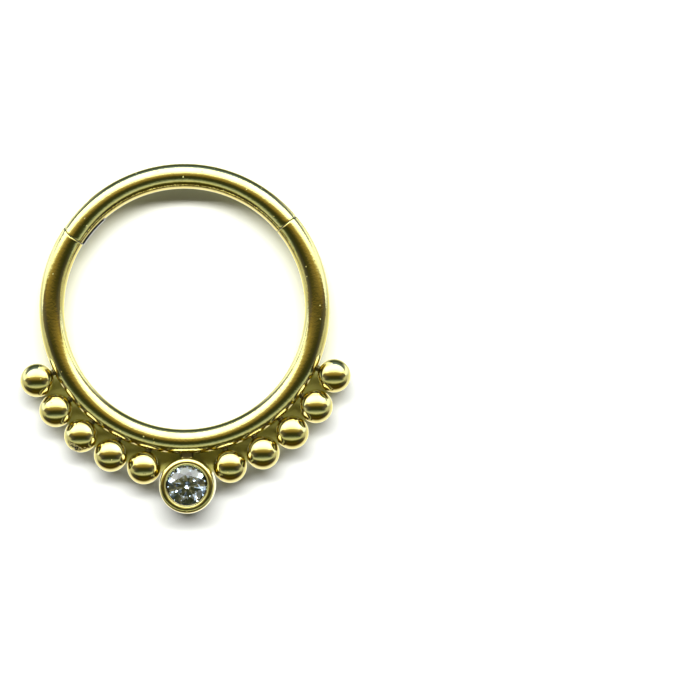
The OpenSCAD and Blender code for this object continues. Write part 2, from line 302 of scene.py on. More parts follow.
def lower_arc():
    """The wire as rings of points carried along its middle line. Each ring has an angle round the ring and a
    radius. The hinge end starts at the bottom of the peg's hole, comes out over the end face and the rounded
    edge, is fitted to the plain wire, and runs on to the latch end, over its edge and face, and down into
    the socket. Where the socket's mouth cuts the rounded edge, the edge stops at the cut."""
    around = np.linspace(0, 2 * np.pi, wire_sides, endpoint=False)[None, :]
    turn = np.radians(np.linspace(90, 0, 7))[:, None]

    def hinge_end(radius):
        """The seam at a distance from the ring's middle: round about the pin outside the middle line, and
        straight inside it."""
        reach = ring_r + radius * np.cos(around)
        cosine = (reach ** 2 + ring_r ** 2 - hinge_reach ** 2) / (2 * reach * ring_r)
        return np.where(reach > ring_r, hinge_at + np.arccos(np.clip(cosine, -1, 1)), seam_at)

    deep = np.array([[0.0], [peg_hole_r]])
    hole = beside(seam_at, deep * np.cos(around), deep * np.sin(around), peg_hole_depth)
    face = np.stack([np.linspace(peg_hole_r, wire_r - seam_round, 6)[:-1], np.zeros(5)], -1)
    edge = np.hstack([wire_r - seam_round + seam_round * np.cos(turn), seam_round * (1 - np.sin(turn))])
    rows = np.vstack([face, edge])
    radius, depth = rows[:, :1], rows[:, 1:]
    start = on_wire(
        hinge_end(radius) + depth / ring_r, radius * np.cos(around), radius * np.sin(around)
    )
    settle = np.linspace(0, 1, 17)[1:, None]
    first = hinge_end(np.array([[wire_r]])) + seam_round / ring_r
    plain_from = seam_at + hinge_fit_l / ring_r
    ease = on_wire(
        first + (plain_from - first) * settle, wire_r * np.cos(around), wire_r * np.sin(around)
    )
    latch_end = 2 * np.pi + latch_at
    plain_to = latch_end - latch_fit_l / ring_r
    count = int((plain_to - plain_from) * ring_r / wire_step)
    plain = on_wire(
        np.linspace(plain_from, plain_to, count)[1:, None],
        wire_r * np.cos(around), wire_r * np.sin(around),
    )

    def rim(depth):
        """The wire's radius near its end, where the edge is rounded."""
        return wire_r - seam_round + np.sqrt(
            np.maximum(seam_round ** 2 - np.clip(seam_round - depth, 0, None) ** 2, 0)
        )

    depths = np.linspace(0, socket_depth, 801)[:, None]
    notch = depths[np.argmax(rim(depths) >= socket_reach(around, depths), axis=0)].T
    coming = np.linspace(latch_fit_l, seam_round, 8)[1:-1, None]
    bend = seam_round * (1 - np.sin(turn[::-1]))
    skin = np.maximum(np.vstack([coming, bend]), notch)
    skin_radius = rim(skin)
    lip, mouth = rim(notch), socket_reach(around, notch)
    across = np.linspace(0, 1, 5)[1:, None]
    face_radius = lip + (mouth - lip) * across
    down = np.linspace(0, 1, 13)[1:, None]
    wall = notch + (socket_depth - notch) * down
    wall_radius = socket_reach(around, wall)
    floor_radius = wall_radius[-1:] * np.array([[0.5], [0.0]])
    radius = np.vstack([skin_radius, face_radius, wall_radius, floor_radius])
    depth = np.vstack([skin, np.repeat(notch, 4, 0), wall, np.full((2, wire_sides), socket_depth)])
    end = on_wire(latch_end - depth / ring_r, radius * np.cos(around), radius * np.sin(around))
    return grid(np.vstack([hole, start, ease, plain, end]), around=True)


gold_wire = gold_coat("gold_wire", wire=True, grain=0.005)
piece = solid("lower_arc", [lower_arc()], gold_wire)
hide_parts("ring_body")
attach(piece, "ring")


# The gate: the same wire, which swings open on the hinge pin. One end is drilled for the latch pin. The
# other is a fork, sawn out for the flat tongue, with its tail rounded about the pin and both cheeks bored
# for it.
tongue_t, slot_gap = 0.36, 0.03
tongue_reach = 0.79
pin_hole_r = 0.26
gate_round = 0.02
bore_r, bore_depth = 0.36, 1.02
bore_block = 0.36
slot_past_tip_deg = 0.6
slot_half = tongue_t / 2 + slot_gap
slot_at = hinge_at - np.arctan(tongue_reach / ring_r) - np.radians(slot_past_tip_deg)
gate_from, gate_to = latch_at + seam_gap / ring_r, seam_at - seam_gap / ring_r
slot_lean = np.arcsin(slot_half / wire_r)
over, beside_slot = np.linspace(0, 1, 31), np.linspace(-1, 1, 9)


def gate_tail(out):
    """Where the tail ends: round about the pin outside the wire's middle line, and straight inside it."""
    reach = ring_r + out
    cosine = (reach ** 2 + ring_r ** 2 - (hinge_reach - seam_gap) ** 2) / (2 * reach * ring_r)
    return np.where(out > 0, np.minimum(hinge_at + np.arccos(np.clip(cosine, -1, 1)), gate_to), gate_to)


def gate_arc():
    """The round part, from the bottom of the bore, over the latch face and its edge, to the slot's end, and
    the slot's flat end wall. Beside the slot the end's edge is taken off a little."""
    top = slot_lean + (np.pi - 2 * slot_lean) * over[:-1]
    side = np.pi + slot_lean * beside_slot[:-1]
    around = np.concatenate([top, side, top + np.pi, side + np.pi])[None, :]
    deep = np.array([[0.0], [bore_r]])
    bore = beside(latch_at, deep * np.cos(around), deep * np.sin(around), bore_depth)
    turn = np.radians(np.linspace(90, 0, 5))[:, None]
    face = np.array([[bore_r, 0], [0.5 * (bore_r + wire_r - gate_round), 0]])
    edge = np.hstack([wire_r - gate_round + gate_round * np.cos(turn), gate_round * (1 - np.sin(turn))])
    radius, depth = np.split(np.vstack([face, edge]), 2, axis=1)
    start = on_wire(gate_from + depth / ring_r, radius * np.cos(around), radius * np.sin(around))
    first, last = gate_from + gate_round / ring_r, slot_at - gate_round / ring_r
    count = int((last - first) * ring_r / wire_step)
    plain = on_wire(
        np.linspace(first, last, count)[1:, None], wire_r * np.cos(around), wire_r * np.sin(around)
    )

    def mouth(lean):
        """The radius at the slot's end, at an angle from the slot's own plane."""
        inside = slot_half - np.abs(wire_r * np.sin(lean))
        return wire_r - 0.6 * gate_round * np.clip(inside / 0.06, 0, 1)

    last_r = mouth(around)
    end = on_wire(slot_at, last_r * np.cos(around), last_r * np.sin(around))
    lean = slot_lean * beside_slot[:, None]
    wall = on_wire(slot_at, mouth(lean) * np.cos(lean) * (1 - 2 * over), mouth(lean) * np.sin(lean))
    return [grid(np.vstack([bore, start, plain, end]), around=True), grid(wall)]


def cheek_section(corner, inset):
    """One cheek across the wire, as its round outside and its flat inside. Both run from one rounded corner
    to the other, and the whole outline can be drawn in by an inset."""
    middle_up = slot_half + corner
    middle_out = np.sqrt((wire_r - corner) ** 2 - middle_up ** 2)
    tangent = np.arctan2(middle_up, middle_out)
    half = (tangent - np.pi / 2) / 2
    share = np.linspace(0, 1, 4)[:-1]
    upper = half + (tangent - half) * share
    lower = half - (half + np.pi / 2) * share
    left = corner - inset
    sweep = tangent + (np.pi - 2 * tangent) * over
    skin_out, skin_up = middle_out + left * np.cos(upper), middle_up + left * np.sin(upper)
    flat_out, flat_up = middle_out + left * np.cos(lower), middle_up + left * np.sin(lower)
    skin = np.stack([
        np.hstack([skin_out, (wire_r - inset) * np.cos(sweep), -skin_out[:, ::-1]]),
        np.hstack([skin_up, (wire_r - inset) * np.sin(sweep), skin_up[:, ::-1]]),
    ])
    flat = np.stack([
        np.hstack([flat_out, middle_out * (1 - 2 * over), -flat_out[:, ::-1]]),
        np.hstack([flat_up, slot_half + inset + 0 * sweep, flat_up[:, ::-1]]),
    ])
    return skin, flat


def cheek(side):
    """One cheek of the fork. Rows run from the slot's end to the tail, over its edge, and close the tail's
    face. A block of both surfaces about the pin is left out and filled by rings of points round the bore."""
    block = hinge_at + np.array([-bore_block, bore_block]) / ring_r
    along = np.concatenate([
        slot_at + np.array([0, 0.02, 0.05, 0.1]) / ring_r,
        np.linspace(slot_at + 0.1 / ring_r, block[0], 6)[1:],
        np.linspace(*block, 13)[1:],
    ])
    tail = np.linspace(0, 1, 9)[1:]
    turn = np.radians([30, 60, 90])
    corner = np.full(len(along) + len(tail) + 5, gate_round)
    corner[:4] = gate_round * np.array([0, 0.4, 0.8, 1])
    inset = np.zeros_like(corner)
    inset[-5:] = gate_round * np.append(1 - np.cos(turn), [1, 1])
    skin, flat = cheek_section(corner[:, None], inset[:, None])
    middle = (skin[:, -2:] + flat[:, -2:]) / 2
    close = np.array([0.5, 1.0])[:, None]
    grids = []
    for out, up in (skin, flat):
        out[-2:] += (middle[0] - out[-2:]) * close
        up[-2:] += (middle[1] - up[-2:]) * close
        ends = gate_tail(out)
        angle = ends.copy()
        angle[:len(along)] = along[:, None]
        past = slice(len(along), len(along) + len(tail))
        edge = ends[past] - gate_round / ring_r
        angle[past] = block[1] + (edge - block[1]) * tail[:, None]
        angle[-5:-2] -= gate_round * (1 - np.sin(turn))[:, None] / ring_r
        grids.append(on_wire(angle, out, side * up))
    low, high = np.searchsorted(along, block + [-1e-9, -1e-9])
    first, last = 8, len(over) - 3
    patches = []
    for points in grids:
        places, faces = grid(points)
        kept = np.ones((points.shape[0] - 1, points.shape[1] - 1), bool)
        kept[low:high, first:last] = False
        patches.append((places, faces[kept.ravel()]))
    rims = [
        np.concatenate([
            points[low, first:last], points[low:high, last],
            points[high, last:first:-1], points[high:low:-1, first],
        ])[:, :2] for points in grids
    ]
    turn = np.arctan2(*(rims[0] - hinge[:2]).T[::-1])
    circle = hinge[:2] + pin_hole_r * np.stack([np.cos(turn), np.sin(turn)], -1)
    share = np.linspace(0, 1, 5)[:, None, None]
    outside = rims[0] + (circle - rims[0]) * share
    inside = circle + (rims[1] - circle) * share
    lift = np.hypot(*np.moveaxis(outside - ring_mid[:2], -1, 0)) - ring_r
    height = np.vstack([np.sqrt(wire_r ** 2 - lift ** 2), np.full(inside.shape[:2], slot_half)])
    around_pin = np.concatenate([
        np.vstack([outside, inside]), (ring_mid[2] + side * height)[..., None],
    ], -1)
    return patches + [grid(around_pin, around=True)]


piece = solid("gate_arc", gate_arc() + cheek(1) + cheek(-1), gold_wire)
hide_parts("gate")
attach(piece, "gate")


# The hinge's tongue: a flat plate of bare steel on a peg that is fixed in the lower arc. It turns in the
# gate's slot. Its tip is rounded about the pin, and its inner edge stands a little out of the wire.
tongue_proud, tongue_sunk = 0.06, 0.04
turn_gap = 0.02
hinge_pin_r = 0.25
peg_r, peg_l = 0.18, 0.8
tongue_edge = 0.06
plate_gap = 0.01


def ground_steel(name, colour, lines):
    """Bare steel with fine grinding lines across one direction, duller than the polished coat."""
    material, tree, shader = new_material(name)
    where = millimetres(tree)
    across = add(tree, "ShaderNodeMapping", {"Vector": where, "Scale": lines}).outputs["Vector"]
    shader.inputs["Base Color"].default_value = colour
    shader.inputs["Metallic"].default_value = 1.0
    worn = noise(tree, where, 5.0, detail=3.0)
    tree.links.new(spread(tree, worn, 0.35, 0.7, 0.16, 0.26), shader.inputs["Roughness"])
    tree.links.new(bump(tree, noise(tree, across, 6.0, detail=3.0), 0.001), shader.inputs["Normal"])
    return material


def tongue():
    """The plate's outline round the pin, joined to the pin's hole above and below, with a small rounding
    along its edges, and the peg as a plain round bar."""
    low, high = ring_r - wire_r - tongue_proud, outer_r - tongue_sunk

    def circle_end(reach, radius, straight, way):
        """The angle of one end of the plate: round about the pin outside the wire's middle line."""
        cosine = (reach ** 2 + ring_r ** 2 - radius ** 2) / (2 * reach * ring_r)
        bend = hinge_at + way * np.arccos(np.clip(cosine, -1, 1))
        nearer = np.minimum if way > 0 else np.maximum
        return np.where(reach > ring_r, nearer(bend, straight), straight)

    tip_at = hinge_at - np.arctan(tongue_reach / ring_r)
    back_at = seam_at - plate_gap / ring_r
    up, share = np.linspace(low, high, 25)[:-1], np.linspace(0, 1, 25)[:-1]
    tip = circle_end(up, tongue_reach, tip_at, -1)
    back = circle_end(high + low - up, hinge_reach - plate_gap, back_at, 1)
    tip_high = circle_end(np.array(high), tongue_reach, tip_at, -1)
    back_high = circle_end(np.array(high), hinge_reach - plate_gap, back_at, 1)
    angle = np.concatenate([
        tip, tip_high + (back_high - tip_high) * share, back, back_at + (tip_at - back_at) * share,
    ])
    reach = np.concatenate([up, np.full(24, high), high + low - up, np.full(24, low)])
    outline = ring_mid[:2] + reach[:, None] * np.stack([np.cos(angle), np.sin(angle)], -1)
    spoke = outline - hinge[:2]
    spoke /= np.linalg.norm(spoke, axis=1)[:, None]
    half_t = tongue_t / 2
    turn = np.radians([90, 60, 30, 0, 0, -30, -60, -90])
    edge_z = np.repeat([1, -1], 4) * (half_t - tongue_edge) + tongue_edge * np.sin(turn)
    rows = [hinge[:2] + (hinge_pin_r + turn_gap) * spoke]
    rows += [outline - tongue_edge * (1 - np.cos(bend)) * spoke for bend in turn]
    rows += [rows[0], rows[0]]
    height = np.concatenate([[half_t], edge_z, [-half_t, half_t]])
    plate = np.concatenate([
        np.stack(rows), np.broadcast_to(ring_mid[2] + height[:, None, None], (len(rows), 96, 1)),
    ], -1)
    around = np.linspace(0, 2 * np.pi, 48, endpoint=False)[None, :]
    radius = np.array([0, peg_r, peg_r, 0])[:, None]
    length = np.array([-0.2, -0.2, peg_l, peg_l])[:, None]
    peg = beside(seam_at, radius * np.cos(around), radius * np.sin(around), length)
    return [grid(plate, around=True), grid(peg, around=True)]


steel_plate = ground_steel("ground_plate", (0.44, 0.43, 0.39, 1), (1.0, 1.0, 5.0))
piece = solid("tongue", tongue(), steel_plate)
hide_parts("hinge_tongue")
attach(piece, "ring")


# The hinge's pin: a steel pin pressed through the fork, so that its ends hardly show. Both are ground to the
# wire's round surface and coated with it.
pin_gap = 0.001


def ground_pin():
    """Rings of points about the pin's axis, from the middle of its top, down its side, to the middle
    below."""
    around = np.linspace(0, 2 * np.pi, 96, endpoint=False)[None, :]
    radius = (pin_hole_r - pin_gap) * np.array([0, 0.35, 0.65, 0.85, 0.96, 1.0])
    radius = np.append(radius, radius[::-1])[:, None]
    side = np.append(np.ones(6), -np.ones(6))[:, None]
    x, y = hinge[0] + radius * np.cos(around), hinge[1] + radius * np.sin(around)
    out = np.hypot(x - ring_mid[0], y - ring_mid[1]) - ring_r
    up = np.sqrt(wire_r ** 2 - out ** 2) - pin_gap
    return grid(np.stack([x, y, ring_mid[2] + side * up], -1), around=True)


piece = solid("pin_of_hinge", [ground_pin()], gold_wire)
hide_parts("hinge_pin")
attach(piece, "gate")


# The latch's pin: a short pin of bare steel, turned with a bevelled tip and pressed into the gate's free
# end. The bevel lets it into the socket at the end of the gate's swing.
latch_in, tip_round = 1.0, 0.02


def pin_of_latch():
    """The pin's section, turned about the wire's direction at the latch seam."""
    turn = np.linspace(0, 2 * np.pi, 64, endpoint=False)[None, :]
    slope = latch_bevel - tip_round
    section = np.array([
        [0, latch_in], [latch_pin_r - tip_round, latch_in], [latch_pin_r, latch_in - tip_round],
        [latch_pin_r, -latch_out + latch_bevel + tip_round],
        [latch_pin_r - 0.3 * tip_round, -latch_out + latch_bevel - 0.3 * tip_round],
        [latch_pin_r - slope, -latch_out + latch_bevel - slope],
        [latch_pin_r - latch_bevel - 0.4 * tip_round, -latch_out],
        [0.5 * latch_pin_r, -latch_out], [0, -latch_out],
    ])
    radius, along = section[:, :1], section[:, 1:]
    return grid(beside(latch_at, radius * np.cos(turn), radius * np.sin(turn), along), around=True)


steel_pin = ground_steel("turned_pin", (0.66, 0.65, 0.62, 1), (7.0, 1.0, 1.0))
piece = solid("pin_of_latch", [pin_of_latch()], steel_pin, crease_deg=30)
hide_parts("latch_pin")
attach(piece, "gate")


# The setting: a round cup of coated steel, turned on a lathe and fixed to the wire by a short post. Its wall
# is pushed over the stone's edge all round, and the lip over the stone is cut bright.
setting_d = 2.82
setting_mid = np.array([0, mounts["back_face"]["pos_m"][1] / MM, ring_mid[2]])
setting_r = setting_d / 2
bead_r = 0.84
crest_r, crest_z = 1.137, 0.76
rim_r, edge_round = 1.37, 0.2
# The section of the groove and the bright-cut ridge: distance from the middle, and height from the face
bright_cut = [
    (1.125, -0.03), (1.112, -0.014), (1.1, -0.003), (1.088, 0.0), (1.074, -0.004), (1.054, -0.017),
    (1.03, -0.04), (1.005, -0.07),
]
stone_d, crown_tilt, pavilion_tilt = 2.0, np.radians(34.5), np.radians(40.75)
girdle_t, girdle_z = 0.06, 0.6
stone_r = stone_d / 2
stone_gap, lip_t = 0.015, 0.02
lip_r = stone_r - 0.05
seat_r = 0.78 * stone_r
back_round = 0.07
cup_floor_z = -0.35
setting_sides = 144
setting_post_r, post_reach = 0.325, 0.3


def arc(middle, radius, start_deg, end_deg, count):
    """Points on part of a circle."""
    turn = np.radians(np.linspace(start_deg, end_deg, count))
    return middle + radius * np.stack([np.cos(turn), np.sin(turn)], -1)


def line(start, end, count):
    """Points on a straight line, without its first one."""
    return start + (np.subtract(end, start)) * np.linspace(0, 1, count + 1)[1:, None]


def turned(middle, section, sides):
    """A section of distances and heights, turned about an upright axis."""
    turn = np.linspace(0, 2 * np.pi, sides, endpoint=False)[None, :]
    reach, height = section[:, :1], section[:, 1:]
    return middle + np.stack(np.broadcast_arrays(reach * np.cos(turn), reach * np.sin(turn), height), -1)


def setting_section():
    """Distance and height along the cup's section: from the middle of its back, round the outer edge, up the
    wall, which leans in above the middle, over the rounded rim and the level face to a fine groove, over the
    bright-cut ridge that is pushed against the stone, and inside from the girdle's groove down the seat to
    the floor."""
    rim = arc(np.array([rim_r - edge_round, crest_z - edge_round]), edge_round, 0, 90, 16)
    lean = np.linspace(0, 1, 9)[1:]
    wall = np.stack([setting_r - (setting_r - rim[0, 0]) * lean ** 1.6, rim[0, 1] * lean], -1)[:-1]
    lip_z = girdle_z + (stone_r - lip_r) * np.tan(crown_tilt) + stone_gap
    seat_z = girdle_z - girdle_t
    back = arc(np.array([setting_r - back_round, -bead_r + back_round]), back_round, -90, 0, 7)
    ridge = np.array(bright_cut) + [0, crest_z]
    inner = np.array([
        [lip_r, lip_z],
        [stone_r + stone_gap, girdle_z + stone_gap],
        [stone_r + stone_gap, seat_z],
        [seat_r, seat_z - (stone_r - seat_r) * np.tan(pavilion_tilt) - stone_gap],
        [seat_r, cup_floor_z],
        [0, cup_floor_z],
    ])
    return np.vstack([
        [[0, -bead_r]],
        line([0, -bead_r], back[0], 5)[:-1],
        back,
        line(back[-1], [setting_r, 0], 4),
        wall,
        rim,
        line(rim[-1], [crest_r, crest_z], 3),
        ridge,
        line(ridge[-1], [lip_r, lip_z + lip_t], 3),
        inner,
    ])


turn = np.linspace(0, 2 * np.pi, 48, endpoint=False)[None, :]
reach = setting_post_r * np.array([[0], [1], [1], [0]])
along = wire_r + post_reach * np.array([[-1], [-1], [1], [1]])
post = on_wire(-np.pi / 2, along, reach * np.sin(turn)) + (reach * np.cos(turn))[..., None] * [1, 0, 0]
cup = turned(setting_mid, setting_section(), setting_sides)
seam_r, setting_solder_shade = 0.99, 0.16
# The setting is painted dark inside seam_r, as painted shade in the seam round the stone and in the cup
# under it, and its post is darker near the ring, as solder and painted shade
gold_setting = gold_coat(
    "gold_setting", grain=0.004, seam_shade=(setting_mid, seam_r), solder_shade_to=outer_r + setting_solder_shade,
)
piece = solid(
    "bezel_cup", [grid(cup, around=True), grid(post, around=True)], gold_setting, crease_deg=32,
)
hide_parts("bezel_setting")
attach(piece, "ring")


# The stone: a clear round brilliant of cut crystal, with a flat table and pointed below. It is held by its
# girdle between the seat and the lip of the setting, and sits a little turned in it.
table_share, star_share, lower_share = 0.56, 0.5, 0.77
culet_r = 0.02
stone_turn = 8.0


def level(count, first, radius, height):
    """Points evenly round the stone's axis, from a first angle on. The stone is set a little turned."""
    turn = np.radians(stone_turn + first + np.arange(count) * 360 / count)
    return np.stack([radius * np.cos(turn), radius * np.sin(turn), np.full(count, height)], -1)


def brilliant():
    """Table, 8 stars, 8 kites and 16 upper halves on the crown, the girdle, and 16 lower halves, 8 mains and
    a culet on the pavilion."""
    half_step = np.cos(np.radians(22.5))
    table_r = table_share * stone_r
    crown_h = (stone_r - table_r) * np.tan(crown_tilt)
    star_r = table_r * half_step + star_share * (stone_r - table_r * half_step)
    star_h = (stone_r - star_r * half_step) * np.tan(crown_tilt)
    lower_r = (1 - lower_share) * stone_r
    lower_h = (stone_r - lower_r * half_step) * np.tan(pavilion_tilt)
    depth = (stone_r - culet_r * half_step) * np.tan(pavilion_tilt)
    points = np.vstack([
        level(8, 0, table_r, crown_h),
        level(8, 22.5, star_r, star_h),
        level(16, 0, stone_r, 0),
        level(16, 0, stone_r, -girdle_t),
        level(8, 22.5, lower_r, -girdle_t - lower_h),
        level(8, 22.5, culet_r, -girdle_t - depth),
    ])
    star, top, low, tip, culet = 8, 16, 32, 48, 56
    eight, sixteen = range(8), range(16)
    faces = [list(eight)]
    faces += [[i, star + i, (i + 1) % 8] for i in eight]
    faces += [[i, star + (i + 7) % 8, top + 2 * i, star + i] for i in eight]
    faces += [[top + i, top + (i + 1) % 16, star + i // 2] for i in sixteen]
    faces += [[low + i, low + (i + 1) % 16, top + (i + 1) % 16, top + i] for i in sixteen]
    faces += [[tip + i // 2, low + (i + 1) % 16, low + i] for i in sixteen]
    faces += [
        [tip + (i + 7) % 8, culet + (i + 7) % 8, culet + i, tip + i, low + 2 * i] for i in eight
    ]
    faces += [[culet + i for i in reversed(eight)]]
    return points + setting_mid + [0, 0, girdle_z], faces


def stone_material():
    """Clear crystal, hardly coloured."""
    material, tree, shader = new_material("clear_crystal")
    shader.inputs["Base Color"].default_value = (0.62, 0.79, 1.0, 1)
    shader.inputs["Roughness"].default_value = 0.0
    shader.inputs["IOR"].default_value = 2.15
    shader.inputs["Transmission Weight"].default_value = 1.0
    return material


points, faces = brilliant()
mesh = bpy.data.meshes.new("brilliant")
mesh.from_pydata(points * MM, [], faces)
work = bmesh.new()
work.from_mesh(mesh)
bmesh.ops.recalc_face_normals(work, faces=work.faces)
work.to_mesh(mesh)
work.free()
mesh.materials.append(stone_material())
piece = bpy.data.objects.new("brilliant", mesh)
bpy.context.scene.collection.objects.link(piece)
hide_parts("stone")
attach(piece, "ring")


# The beads: five steel balls in a row on each side of the setting, coated with the ring. Each stands on a
# short post, soldered at its foot and its head. One of them was cast with pits, low on its outer side.
bead_lift, bead_gap, setting_lift, setting_gap = 0.08, 0.09, 0.15, 0.09
beads_a_side = 5
bead_post_r, bead_post_in, solder, solder_in = 0.15, 0.3, 0.07, 0.02
bead_row_r = outer_r + bead_lift + bead_r
bead_step = 2 * np.arcsin((bead_r + bead_gap / 2) / bead_row_r)
setting_row_r = outer_r + setting_lift + setting_r
setting_to_bead = setting_r + bead_r + setting_gap
first_bead = np.arccos(
    (setting_row_r ** 2 + bead_row_r ** 2 - setting_to_bead ** 2)
    / (2 * setting_row_r * bead_row_r)
)


def bead(angle, pits=()):
    """A post's and a ball's section turned about the ray from the ring's middle. The solder makes the post
    wider towards the wire and the ball. Each pit pushes the surface towards the ball's middle, by its depth
    times a bell curve of the distance from the pit over its half width."""
    neck_deg = np.degrees(np.arcsin((bead_post_r + solder) / bead_r))
    fine = 4 if pits else 1
    steps, sides = 48 * fine + 1, 64 * fine
    ball = arc(np.array([0, bead_row_r]), bead_r, -90 + neck_deg, 90, steps)
    share = np.linspace(0, 1, 11)[:-1]
    low = outer_r - solder_in
    neck_r = bead_post_r + solder * (2 * share - 1) ** 4
    neck = np.stack([neck_r, low + (ball[0, 1] - low) * share], -1)
    post = np.array([[0, outer_r - bead_post_in], [bead_post_r, outer_r - bead_post_in]])
    section = np.vstack([post, neck, ball])
    turn = np.linspace(0, 2 * np.pi, sides, endpoint=False)[None, :]
    reach, out = section[:, :1], section[:, 1:]
    side, up, out = np.broadcast_arrays(reach * np.cos(turn), reach * np.sin(turn), out)
    ray, across = np.array([np.cos(angle), np.sin(angle)]), np.array([-np.sin(angle), np.cos(angle)])
    flat = out[..., None] * ray + side[..., None] * across
    points = ring_mid + np.concatenate([flat, up[..., None]], -1)
    middle = ring_mid + [*(bead_row_r * ray), 0]
    for x, y, half_width, depth in pits:
        pit = middle + [x, y, np.sqrt(bead_r ** 2 - x ** 2 - y ** 2)]
        bell = np.exp(-(np.linalg.norm(points - pit, axis=-1) / half_width) ** 2)
        inward = (middle - points) / bead_r
        points = points + depth * bell[..., None] * inward
    return points


pitted_bead = ("left", 3)
pitted_mid = on_wire(-np.pi / 2 - (first_bead + 2 * bead_step), bead_row_r - ring_r, 0)
pitted_from_mid = [-0.3, -0.62, 0.45]
dirty_relief = 0.35
# Each pit's place from the ball's middle, its half width and its depth
casting_pits = [
    (-0.42, -0.50, 0.08, 0.09), (-0.32, -0.45, 0.045, 0.04), (-0.16, -0.64, 0.105, 0.12),
    (-0.26, -0.57, 0.04, 0.035), (0.03, -0.68, 0.045, 0.03), (0.22, -0.62, 0.04, 0.025),
    (-0.58, -0.33, 0.04, 0.025),
]
# The posts are darker and rough near the ring: the solder's colour, and painted shade in the gap under each
# ball
gold_bead = gold_coat("gold_bead", grain=0.002, solder_shade_to=outer_r + bead_lift)
gold_pitted = gold_coat(
    "gold_bead_pitted", grain=0.002, solder_shade_to=outer_r + bead_lift,
    pitted=(pitted_mid + pitted_from_mid, dirty_relief),
)
for side_name, side in (("left", -1), ("right", 1)):
    for i in range(1, beads_a_side + 1):
        angle = -np.pi / 2 + side * (first_bead + bead_step * (i - 1))
        coat, pits = (gold_pitted, casting_pits) if (side_name, i) == pitted_bead else (gold_bead, ())
        piece = solid(f"ball_{side_name}_{i}", [grid(bead(angle, pits), around=True)], coat)
        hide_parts(f"bead_{side_name}_{i}")
        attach(piece, "ring")


# The stage: the dull white table that the ring lies on, a pale backdrop, a long lamp over the table, and the
# room's light, which the gold mirrors. The table lies just under the ring, so that nothing cuts into it.
floor_drop = 0.02
floor_r = 400.0
backdrop_r = 700.0
half_row = first_bead + bead_step * (beads_a_side - 1)


def table_material(name, colour, painted_glow, between):
    """A dull white, with painted light on it: a warmer tint near the wire, as a painted glow of light off
    the gold, and another colour between the wire and the beads, as painted shade there, tinted by the light
    that has come off the gold on both sides. Each of these fades over a short distance."""
    material, tree, shader = new_material(name)
    split = parts(tree, millimetres(tree, [*ring_mid[:2], 0]))
    reach = diagonal(tree, split["X"], split["Y"])
    down = calc(tree, "MULTIPLY", split["Y"], -1.0)
    from_down = calc(tree, "ARCTAN2", calc(tree, "ABSOLUTE", split["X"]), down)
    # Painted shade, tinted as light off the gold, between the wire and the beads along the row
    in_row = spread(tree, from_down, half_row - 0.07, half_row + 0.07, 1.0, 0.0, "SMOOTHSTEP")
    inner = spread(tree, reach, outer_r - 0.7, outer_r - 0.5, 0.0, 1.0, "SMOOTHSTEP")
    outer = spread(tree, reach, bead_row_r - 0.15, bead_row_r + 0.55, 1.0, 0.0, "SMOOTHSTEP")
    share = calc(tree, "MULTIPLY", in_row, calc(tree, "MULTIPLY", inner, outer))
    # Painted glow: a warmer tint on the table near the wire, as light off the gold
    glow_near_wire = calc(
        tree, "MULTIPLY", spread(tree, reach, ring_r - 2.0, ring_r - 0.7, 0, 1, "SMOOTHSTEP"),
        spread(tree, reach, outer_r + 0.6, outer_r + 2.4, 1, 0, "SMOOTHSTEP"),
    )
    tone = blend(tree, glow_near_wire, colour, painted_glow)
    tree.links.new(blend(tree, share, tone, between), shader.inputs["Base Color"])
    shader.inputs["Roughness"].default_value = 0.9
    shader.inputs["Specular IOR Level"].default_value = 0.0
    return material


turn = np.linspace(0, 2 * np.pi, 96, endpoint=False)
ring = np.stack([np.cos(turn), np.sin(turn), np.full(96, 0.0)], -1)
rows = np.array([0.0, 0.1, 1.0])[:, None, None] * ring * floor_r + [0, 0, -floor_drop]
# The table's white, its painted glow near the wire, and its painted olive shade between the wire and the
# beads
table_white = table_material(
    "table_white", (0.42, 0.425, 0.41, 1), (0.45, 0.45, 0.365, 1), (0.40, 0.375, 0.10, 1)
)
floor = solid("table", [grid(rows, around=True)], table_white)
floor.visible_glossy = False

# The gold mirrors no table but this strip of it, between the wire and the beads, which the camera doesn't
# see
turn = -np.pi / 2 + half_row * np.linspace(-1, 1, 97)
reach = np.linspace(outer_r - 0.35, bead_row_r + 0.1, 5)[:, None, None]
strip = reach * np.stack([np.cos(turn), np.sin(turn), 0 * turn], -1) + [*ring_mid[:2], -0.5 * floor_drop]
mirrored = solid("shaded_strip", [grid(strip)], table_white)
mirrored.visible_camera = False
mirrored.visible_diffuse = False
mirrored.visible_shadow = False

# A pale backdrop, seen only by a camera that stands low
steps = np.linspace(0, np.pi, 17)[:, None]
turn = np.linspace(0, 2 * np.pi, 32, endpoint=False)[None, :]
dome = backdrop_r * np.stack(np.broadcast_arrays(
    np.sin(steps) * np.cos(turn), np.sin(steps) * np.sin(turn), np.cos(steps)
), -1)
pale = bpy.data.materials.new("backdrop_pale")
pale.use_nodes = True
pale.node_tree.nodes.clear()
glow = add(pale.node_tree, "ShaderNodeEmission", {"Color": (0.93, 0.93, 0.92, 1)})
add(pale.node_tree, "ShaderNodeOutputMaterial", {"Surface": glow.outputs[0]})
backdrop = solid("backdrop", [grid(dome, around=True)], pale)
for kind in ("diffuse", "glossy", "transmission", "shadow"):
    setattr(backdrop, f"visible_{kind}", False)

